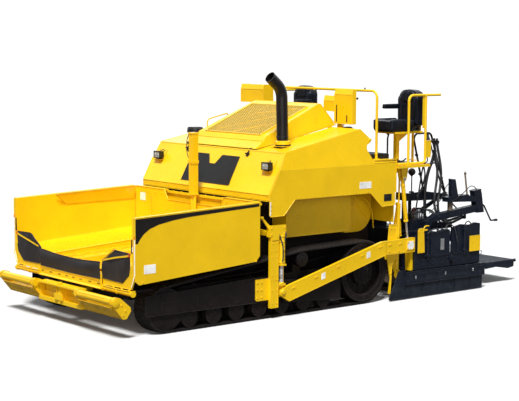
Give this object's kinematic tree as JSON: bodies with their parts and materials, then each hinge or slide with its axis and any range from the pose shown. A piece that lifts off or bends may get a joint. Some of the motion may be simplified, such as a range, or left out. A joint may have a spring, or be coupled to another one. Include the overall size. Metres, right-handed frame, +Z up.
{
  "type": "tracked asphalt paver",
  "caption": "Tracked asphalt paver: folding hopper wings, feeder conveyors, engine cowl, open operator's platform, tow arms and an extending screed.",
  "frame": {"origin": "centre of the machine's footprint, on the ground under the tracks", "axes": "+Z up, the hopper faces -Y, the screed is at +Y, and the machine's left side is +X"},
  "size_m": [3.16, 8.168, 3.5196],
  "materials": {
    "yellow_paint": "semi-gloss paint, worn at edges",
    "black_paint": "semi-gloss black paint",
    "frame_paint": "dusty black-brown paint",
    "screed_paint": "dark blue-grey paint, worn",
    "worn_steel": "worn steel with brown rust",
    "cast_engine": "plain",
    "chrome_rod": "polished",
    "flap_rubber": "matt, dusty",
    "track_rubber": "matt, dusty",
    "mat_rubber": "ribbed, matt",
    "hose_rubber": "satin",
    "seat_vinyl": "coated seat cover",
    "black_plastic": "matt",
    "lamp_glass": "clear lens"
  },
  "bodies": {
    "tractor": {"main_frame": "frame_paint", "conveyor": "yellow_paint", "hopper_rear_wall": "yellow_paint", "mast_post": "yellow_paint", "centre_flap": "flap_rubber", "front_apron": "yellow_paint", "hood_front": "yellow_paint", "front_grille": "black_paint", "headlights": "lamp_glass", "side_cowls": "yellow_paint", "engine_block": "cast_engine", "exhaust_stack": "black_paint", "air_cleaner_dome": "black_plastic", "side_tanks": "yellow_paint", "operator_platform": "yellow_paint", "platform_mat": "mat_rubber", "consoles": "yellow_paint", "guard_rails": "yellow_paint", "seat_pedestals": "yellow_paint", "seats": "seat_vinyl", "left_track_belt": "track_rubber", "right_track_belt": "track_rubber", "track_wheels": "frame_paint", "track_frames": "frame_paint", "tow_guides": "yellow_paint", "auger_beam": "yellow_paint", "tie_down_lugs": "frame_paint"},
    "left_wing": {"left_hopper_wing": "yellow_paint", "left_wing_flap": "flap_rubber"},
    "right_wing": {"right_hopper_wing": "yellow_paint", "right_wing_flap": "flap_rubber"},
    "cowl": {"engine_cowl": "yellow_paint"},
    "push_bar": {"push_beam": "yellow_paint"},
    "left_roller": {"left_push_roller": "yellow_paint"},
    "right_roller": {"right_push_roller": "yellow_paint"},
    "left_tow": {"left_tow_block": "yellow_paint"},
    "right_tow": {"right_tow_block": "yellow_paint"},
    "left_screw": {"left_auger": "worn_steel"},
    "right_screw": {"right_auger": "worn_steel"},
    "screed": {"tow_arms": "yellow_paint", "screed_frame": "screed_paint", "screed_plate": "worn_steel", "screed_tray": "screed_paint", "hydraulic_manifold": "screed_paint", "hose_masts": "black_paint", "control_stands": "screed_paint", "left_front_hose": "hose_rubber", "left_rear_hose": "hose_rubber", "right_front_hose": "hose_rubber", "right_rear_hose": "hose_rubber"},
    "left_barrel": {"left_lift_barrel": "yellow_paint"},
    "right_barrel": {"right_lift_barrel": "yellow_paint"},
    "left_rod": {"left_lift_rod": "chrome_rod"},
    "right_rod": {"right_lift_rod": "chrome_rod"},
    "left_ext": {"left_extension": "screed_paint"},
    "right_ext": {"right_extension": "screed_paint"},
    "left_gate": {"left_end_gate": "screed_paint"},
    "right_gate": {"right_end_gate": "screed_paint"},
    "left_walk": {"left_walkway": "screed_paint"},
    "right_walk": {"right_walkway": "screed_paint"}
  },
  "joints": [
    {"name": "left_wing_fold", "type": "hinge", "parent": "tractor", "child": "left_wing", "pos_m": [0.79, -3.771, 0.872], "axis": [0, -0.9981, -0.0624], "range_deg": [0, 50]},
    {"name": "right_wing_fold", "type": "hinge", "parent": "tractor", "child": "right_wing", "pos_m": [-0.79, -3.771, 0.872], "axis": [0, 0.9981, 0.0624], "range_deg": [0, 50]},
    {"name": "push_bar_pivot", "type": "hinge", "parent": "tractor", "child": "push_bar", "pos_m": [0, -3.521, 0.46], "axis": [0, 0, 1], "range_deg": [-4, 4]},
    {"name": "left_roller_spin", "type": "hinge", "parent": "push_bar", "child": "left_roller", "pos_m": [1.015, -4.024, 0.53], "axis": [1, 0, 0], "continuous": true},
    {"name": "right_roller_spin", "type": "hinge", "parent": "push_bar", "child": "right_roller", "pos_m": [-1.015, -4.024, 0.53], "axis": [1, 0, 0], "continuous": true},
    {"name": "engine_cowl_lift", "type": "hinge", "parent": "tractor", "child": "cowl", "pos_m": [0, 0.369, 2.61], "axis": [-1, 0, 0], "range_deg": [0, 35]},
    {"name": "left_tow_height", "type": "slide", "parent": "tractor", "child": "left_tow", "axis": [0, 0, 1], "range_m": [0, 0.2]},
    {"name": "right_tow_height", "type": "slide", "parent": "tractor", "child": "right_tow", "axis": [0, 0, 1], "range_m": [0, 0.2]},
    {"name": "screed_lift", "type": "hinge", "parent": "left_tow", "child": "screed", "pos_m": [1.53, -1.191, 0.38], "axis": [1, 0, 0], "range_deg": [0, 4.4]},
    {"name": "left_barrel_swing", "type": "hinge", "parent": "tractor", "child": "left_barrel", "pos_m": [1.46, 1.294, 1.87], "axis": [1, 0, 0], "range_deg": [-1.8, 0]},
    {"name": "left_rod_stroke", "type": "slide", "parent": "left_barrel", "child": "left_rod", "axis": [0, -0.137, 0.9906], "range_m": [0, 0.205]},
    {"name": "right_barrel_swing", "type": "hinge", "parent": "tractor", "child": "right_barrel", "pos_m": [-1.46, 1.294, 1.87], "axis": [1, 0, 0], "range_deg": [-1.8, 0]},
    {"name": "right_rod_stroke", "type": "slide", "parent": "right_barrel", "child": "right_rod", "axis": [0, -0.137, 0.9906], "range_m": [0, 0.205]},
    {"name": "left_extension_slide", "type": "slide", "parent": "screed", "child": "left_ext", "axis": [1, 0, 0], "range_m": [0, 1.2]},
    {"name": "left_gate_height", "type": "slide", "parent": "left_ext", "child": "left_gate", "axis": [0, 0, 1], "range_m": [0, 0.08]},
    {"name": "left_walkway_fold", "type": "hinge", "parent": "left_ext", "child": "left_walk", "pos_m": [0.7, 3.259, 0.33], "axis": [1, 0, 0], "range_deg": [0, 88]},
    {"name": "left_auger_spin", "type": "hinge", "parent": "tractor", "child": "left_screw", "pos_m": [0.7, 1.299, 0.37], "axis": [1, 0, 0], "continuous": true},
    {"name": "right_extension_slide", "type": "slide", "parent": "screed", "child": "right_ext", "axis": [-1, 0, 0], "range_m": [0, 1.2]},
    {"name": "right_gate_height", "type": "slide", "parent": "right_ext", "child": "right_gate", "axis": [0, 0, 1], "range_m": [0, 0.08]},
    {"name": "right_walkway_fold", "type": "hinge", "parent": "right_ext", "child": "right_walk", "pos_m": [-0.7, 3.259, 0.33], "axis": [1, 0, 0], "range_deg": [0, 88]},
    {"name": "right_auger_spin", "type": "hinge", "parent": "tractor", "child": "right_screw", "pos_m": [-0.7, 1.299, 0.37], "axis": [1, 0, 0], "continuous": true}
  ],
  "couplings": [
    {"joint": "right_tow_height", "follows": "left_tow_height", "ratio": 1},
    {"joint": "left_barrel_swing", "follows": "screed_lift", "ratio": -0.3874},
    {"joint": "left_rod_stroke", "follows": "screed_lift", "m_per_rad": 2.6516},
    {"joint": "right_barrel_swing", "follows": "screed_lift", "ratio": -0.3874},
    {"joint": "right_rod_stroke", "follows": "screed_lift", "m_per_rad": 2.6516}
  ]
}
